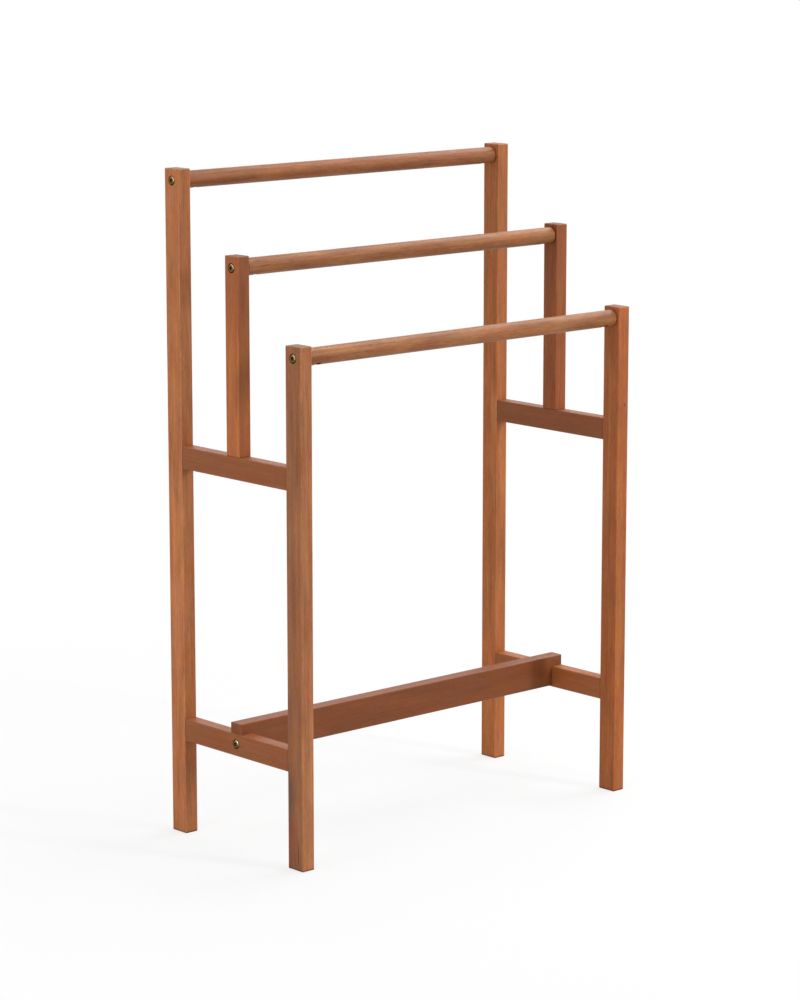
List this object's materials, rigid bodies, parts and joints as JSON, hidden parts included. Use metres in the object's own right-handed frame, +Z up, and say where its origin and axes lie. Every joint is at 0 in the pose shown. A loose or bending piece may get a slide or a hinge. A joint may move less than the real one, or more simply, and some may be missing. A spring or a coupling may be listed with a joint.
{
  "type": "freestanding towel stand",
  "caption": "Freestanding wooden towel stand: round rails stepped down from back to front between two slim leg frames, tied low down by a notched stretcher board.",
  "frame": {"origin": "on the floor, under the middle of the stand's width and depth", "axes": "+X along the towel rails, to the right as seen from the low front rail; +Y from the low front rail to the tall back legs; +Z up"},
  "size_m": [0.5736, 0.26, 0.86],
  "materials": {
    "leg_wood": "oiled reddish-brown hardwood, satin, grain up the legs and posts",
    "side_rail_wood": "oiled reddish-brown hardwood, satin, grain from front to back",
    "towel_rail_wood": "oiled reddish-brown hardwood, turned smooth, satin",
    "stretcher_wood": "oiled hardwood, a darker red-brown board, satin",
    "bolt_brass": "antique-brass plated steel bolts with a hexagon socket",
    "nut_steel": "dull plated steel barrel nuts"
  },
  "bodies": {
    "root": {"back_leg_left": "leg_wood", "back_leg_right": "leg_wood", "front_leg_left": "leg_wood", "front_leg_right": "leg_wood", "middle_post_left": "leg_wood", "middle_post_right": "leg_wood", "upper_side_rail_left": "side_rail_wood", "upper_side_rail_right": "side_rail_wood", "lower_side_rail_left": "side_rail_wood", "lower_side_rail_right": "side_rail_wood", "back_rail": "towel_rail_wood", "middle_rail": "towel_rail_wood", "front_rail": "towel_rail_wood", "stretcher": "stretcher_wood", "back_rail_bolt_left": "bolt_brass", "back_rail_bolt_right": "bolt_brass", "middle_rail_bolt_left": "bolt_brass", "middle_rail_bolt_right": "bolt_brass", "front_rail_bolt_left": "bolt_brass", "front_rail_bolt_right": "bolt_brass", "stretcher_bolt_left": "bolt_brass", "stretcher_bolt_right": "bolt_brass", "back_rail_barrel_nut_left": "nut_steel", "back_rail_barrel_nut_right": "nut_steel", "middle_rail_barrel_nut_left": "nut_steel", "middle_rail_barrel_nut_right": "nut_steel", "front_rail_barrel_nut_left": "nut_steel", "front_rail_barrel_nut_right": "nut_steel", "stretcher_barrel_nut_left": "nut_steel", "stretcher_barrel_nut_right": "nut_steel"}
  },
  "joints": []
}
